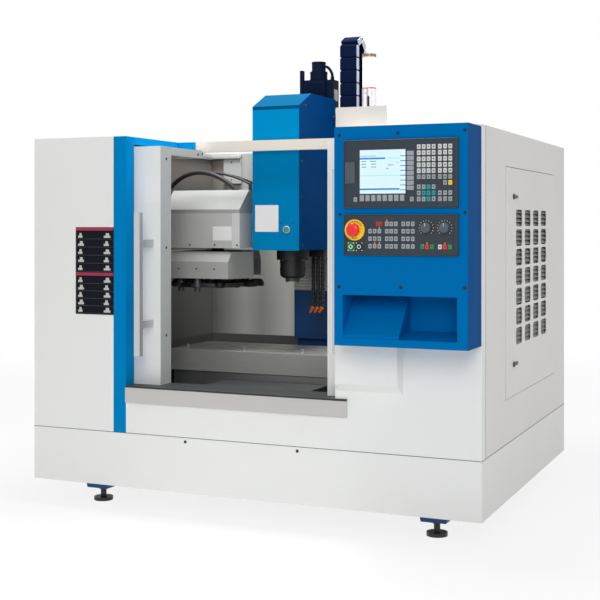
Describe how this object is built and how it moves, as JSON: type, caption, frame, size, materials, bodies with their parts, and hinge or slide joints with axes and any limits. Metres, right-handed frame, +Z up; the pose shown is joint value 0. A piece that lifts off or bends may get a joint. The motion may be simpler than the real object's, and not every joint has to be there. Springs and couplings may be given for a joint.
{
  "type": "cnc machining center",
  "caption": "Enclosed vertical machining centre with cross table, sliding head, tool magazine, sliding doors and an operator cabinet.",
  "frame": {"origin": "on the floor, under the middle of the machine's box", "axes": "+X along the table to the operator's right, +Y to the back, +Z up"},
  "size_m": [2.2083, 2.1886, 2.3219],
  "materials": {
    "white": "satin",
    "side_white": "satin",
    "blue": "satin",
    "frame_blue": "satin",
    "deep_blue": "satin",
    "cream": "satin",
    "sill_grey": "satin",
    "guard": "satin",
    "panel_dark": "fine texture",
    "screen": "lit display",
    "key": "matt",
    "yellow": "gloss",
    "red": "gloss",
    "green": "gloss",
    "black": "gloss",
    "slate": "matt",
    "silver": "brushed",
    "steel": "ground",
    "cast_blue": "painted",
    "cast_grey": "machined",
    "cast_dark": "painted",
    "motor_black": "satin",
    "rubber": "matt",
    "bellows": "coated",
    "bellows_light": "coated",
    "chain": "matt",
    "orange": "gloss",
    "lens": "translucent",
    "glass": "clear"
  },
  "bodies": {
    "machine": {"levelling_feet": "steel", "machine_bed": "cast_blue", "base_tray": "white", "column": "cast_blue", "guideways": "steel", "axis_motors": "motor_black", "left_front": "white", "left_frame": "frame_blue", "front_apron": "white", "sill": "sill_grey", "right_front": "white", "operator_cabinet": "blue", "left_side_panel": "side_white", "right_side_panel": "side_white", "rear_panel": "side_white", "top_covers": "white", "crossbeam": "cream", "roof_box": "cream", "lamp_base": "silver", "lamp_lens": "lens", "inner_guards": "guard", "control_panels": "panel_dark", "screen": "screen", "panel_keys": "key", "estop_ring": "yellow", "magazine_housing": "silver", "magazine_hoses": "rubber", "electrical_cabinet": "side_white", "drag_chain": "chain", "z_bellows": "bellows_light", "y_bellows": "bellows"},
    "left_door_body": {"left_door": "white", "left_window": "glass", "left_handle": "silver"},
    "right_door_body": {"right_door": "white", "right_window": "glass", "right_handle": "silver"},
    "saddle_body": {"saddle": "cast_grey"},
    "table_body": {"table": "cast_grey"},
    "head_body": {"head_casting": "cast_dark", "head_cover": "deep_blue", "spindle_motor": "motor_black", "coolant_hoses": "rubber", "coolant_nozzles": "orange"},
    "spindle_body": {"spindle": "steel"},
    "magazine_body": {"magazine_carriage": "cast_dark", "magazine_cover": "silver"},
    "carousel_body": {"carousel": "cast_dark", "tool_holders": "steel"},
    "side_door_body": {"side_door": "side_white"},
    "upper_latch_body": {"upper_latch": "black"},
    "lower_latch_body": {"lower_latch": "black"},
    "cabinet_door_body": {"cabinet_door": "side_white"},
    "main_switch_body": {"main_switch": "red"},
    "estop_body": {"estop_button": "red"},
    "feed_knob_body": {"feed_knob": "slate"},
    "speed_knob_body": {"speed_knob": "slate"},
    "power_on_body": {"power_on_button": "green"},
    "power_off_body": {"power_off_button": "black"},
    "usb_flap_body": {"usb_flap": "panel_dark"}
  },
  "joints": [
    {"name": "left_door_slide", "type": "slide", "parent": "machine", "child": "left_door_body", "axis": [1, 0, 0], "range_m": [0, 0.417]},
    {"name": "right_door_slide", "type": "slide", "parent": "machine", "child": "right_door_body", "axis": [-1, 0, 0], "range_m": [0, 0.417]},
    {"name": "saddle_slide", "type": "slide", "parent": "machine", "child": "saddle_body", "axis": [0, 1, 0], "range_m": [-0.212, 0.212], "deforming": ["y_bellows"]},
    {"name": "table_slide", "type": "slide", "parent": "saddle_body", "child": "table_body", "axis": [1, 0, 0], "range_m": [-0.19, 0.487]},
    {"name": "head_slide", "type": "slide", "parent": "machine", "child": "head_body", "axis": [0, 0, 1], "range_m": [-0.16, 0.18], "deforming": ["z_bellows", "drag_chain"]},
    {"name": "spindle_spin", "type": "hinge", "parent": "head_body", "child": "spindle_body", "pos_m": [-0.081, -0.0905, 1.056], "axis": [0, 0, 1], "continuous": true},
    {"name": "magazine_slide", "type": "slide", "parent": "machine", "child": "magazine_body", "axis": [1, 0, 0], "range_m": [0, 0.2065]},
    {"name": "carousel_spin", "type": "hinge", "parent": "magazine_body", "child": "carousel_body", "pos_m": [-0.5075, -0.0905, 1.047], "axis": [0, 0, 1], "continuous": true},
    {"name": "side_door_hinge", "type": "hinge", "parent": "machine", "child": "side_door_body", "pos_m": [1.097, 0.5835, 0.574], "axis": [0, 0, 1], "range_deg": [0, 120]},
    {"name": "upper_latch_turn", "type": "hinge", "parent": "side_door_body", "child": "upper_latch_body", "pos_m": [1.102, -0.3175, 1.468], "axis": [1, 0, 0], "range_deg": [0, 90]},
    {"name": "lower_latch_turn", "type": "hinge", "parent": "side_door_body", "child": "lower_latch_body", "pos_m": [1.102, -0.3175, 0.715], "axis": [1, 0, 0], "range_deg": [0, 90]},
    {"name": "cabinet_door_hinge", "type": "hinge", "parent": "machine", "child": "cabinet_door_body", "pos_m": [0.758, 1.0448, 0.476], "axis": [0, 0, -1], "range_deg": [0, 110]},
    {"name": "main_switch_turn", "type": "hinge", "parent": "cabinet_door_body", "child": "main_switch_body", "pos_m": [-0.53, 1.0628, 1.526], "axis": [0, 1, 0], "range_deg": [0, 90]},
    {"name": "estop_press", "type": "slide", "parent": "machine", "child": "estop_body", "axis": [0, 1, 0], "range_m": [0, 0.004], "stiffness_N_per_m": 2500},
    {"name": "feed_knob_turn", "type": "hinge", "parent": "machine", "child": "feed_knob_body", "pos_m": [0.928, -1.0625, 1.33], "axis": [0, -1, 0], "range_deg": [-150, 150]},
    {"name": "speed_knob_turn", "type": "hinge", "parent": "machine", "child": "speed_knob_body", "pos_m": [1.004, -1.0625, 1.33], "axis": [0, -1, 0], "range_deg": [-120, 120]},
    {"name": "power_on_press", "type": "slide", "parent": "machine", "child": "power_on_body", "axis": [0, 1, 0], "range_m": [0, 0.003], "stiffness_N_per_m": 1000},
    {"name": "power_off_press", "type": "slide", "parent": "machine", "child": "power_off_body", "axis": [0, 1, 0], "range_m": [0, 0.003], "stiffness_N_per_m": 1000},
    {"name": "usb_flap_hinge", "type": "hinge", "parent": "machine", "child": "usb_flap_body", "pos_m": [0.5853, -1.0628, 1.51], "axis": [0, 0, -1], "range_deg": [0, 110]}
  ]
}
